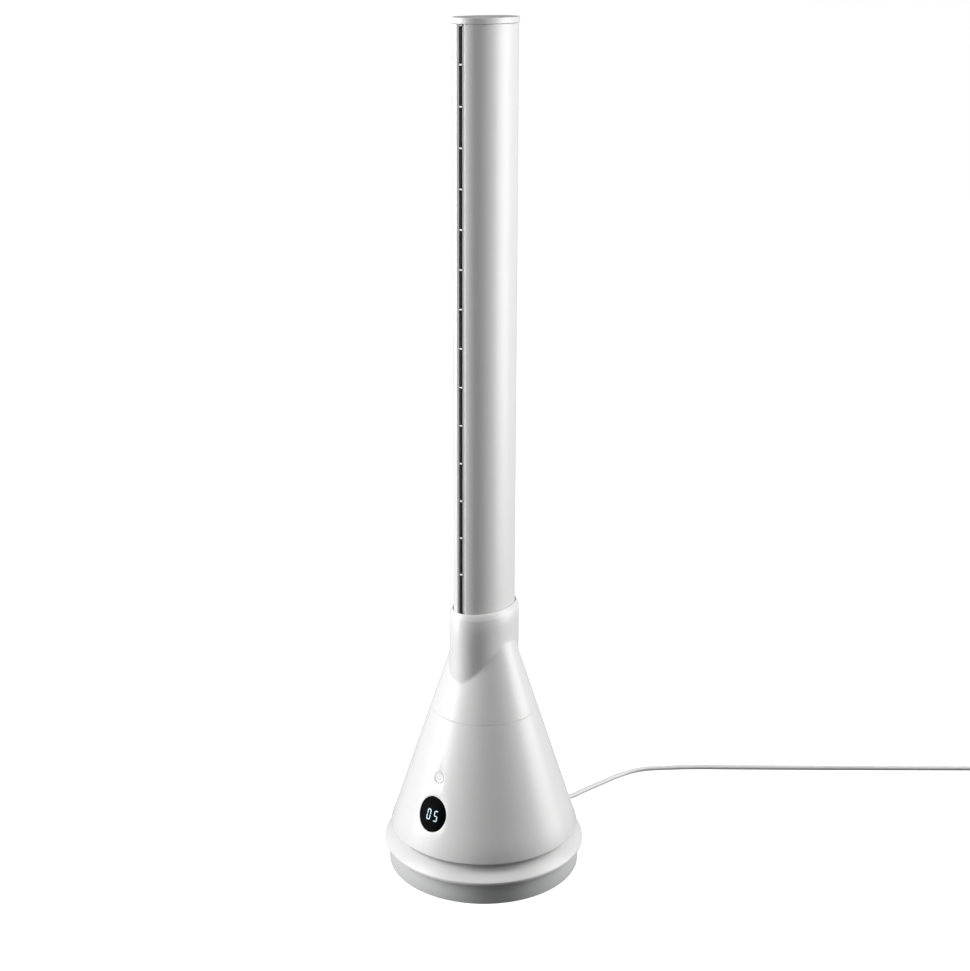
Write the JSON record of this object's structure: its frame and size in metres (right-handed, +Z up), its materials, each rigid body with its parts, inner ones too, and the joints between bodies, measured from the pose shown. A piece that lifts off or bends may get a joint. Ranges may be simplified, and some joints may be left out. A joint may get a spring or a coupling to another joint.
{
  "type": "tower fan",
  "caption": "Slim tower fan: an oval air column with a ribbed front slot on a cone with a round display and power button, swivelling on a round grey foot, with a mains lead.",
  "frame": {"origin": "on the floor, under the middle of the column and foot", "axes": "+Z up along the column; the air slot, display and button face -Y; the mains lead leaves at +Y; +X to the fan's left as it faces you from -Y"},
  "size_m": [0.6789, 0.7273, 0.96],
  "materials": {
    "white_shell": "satin-gloss moulded plastic, white",
    "white_satin": "satin moulded plastic, white",
    "grey_foot": "matt light grey moulded plastic",
    "black_window": "polished black, see-through to the lit digits",
    "black_plastic": "moulded black plastic",
    "rubber": "matt rubber",
    "steel": "zinc-plated steel",
    "circuit_board": "green solder mask",
    "nylon": "natural nylon",
    "white_lead": "soft white sheath"
  },
  "bodies": {
    "foot": {"foot_shell": "grey_foot", "bottom_cover": "grey_foot", "rubber_foot_1": "rubber", "rubber_foot_2": "rubber", "rubber_foot_3": "rubber", "rubber_foot_4": "rubber", "cover_screw_1": "steel", "cover_screw_2": "steel", "cover_screw_3": "steel", "cover_screw_4": "steel", "ballast_plate": "steel", "swivel_post": "nylon", "retaining_ring": "nylon", "glide_ring": "nylon", "swivel_motor": "steel", "strain_relief": "white_lead", "mains_lead": "white_lead", "lead_coil": "white_lead", "lead_tail": "white_lead", "plug_body": "white_lead", "plug_pin_1": "steel", "plug_pin_2": "steel"},
    "head": {"turntable": "white_shell", "ring_gear": "nylon", "inlet_grille": "white_satin", "cone_screw_1": "steel", "cone_screw_2": "steel", "cone_screw_3": "steel", "power_board": "circuit_board", "intake_shroud": "black_plastic", "fan_motor": "steel", "motor_damper": "rubber", "motor_mount": "black_plastic", "diffuser": "black_plastic", "lower_cone": "white_shell", "upper_cone": "white_shell", "column_seat": "rubber", "display_window": "black_window", "display_board": "circuit_board", "digit_module": "black_plastic", "button_switch": "black_plastic", "column_shell": "white_shell", "slot_nozzle": "white_satin", "top_cap": "white_shell"},
    "impeller": {"impeller": "black_plastic", "impeller_nut": "steel", "motor_shaft": "steel"},
    "pinion": {"drive_pinion": "nylon"},
    "button": {"power_button": "white_shell"}
  },
  "joints": [
    {"name": "head_swivel", "type": "hinge", "parent": "foot", "child": "head", "pos_m": [0, 0, 0.03], "axis": [0, 0, 1], "range_deg": [-40, 40]},
    {"name": "pinion_spin", "type": "hinge", "parent": "foot", "child": "pinion", "pos_m": [0.045, 0, 0.03], "axis": [0, 0, 1], "range_deg": [-241, 241]},
    {"name": "impeller_spin", "type": "hinge", "parent": "head", "child": "impeller", "pos_m": [0, 0, 0.14], "axis": [0, 0, 1], "continuous": true},
    {"name": "button_press", "type": "slide", "parent": "head", "child": "button", "axis": [0, 0.9508, -0.3099], "range_m": [0, 0.001], "stiffness_N_per_m": 900}
  ],
  "couplings": [
    {"joint": "pinion_spin", "follows": "head_swivel", "ratio": 6}
  ]
}
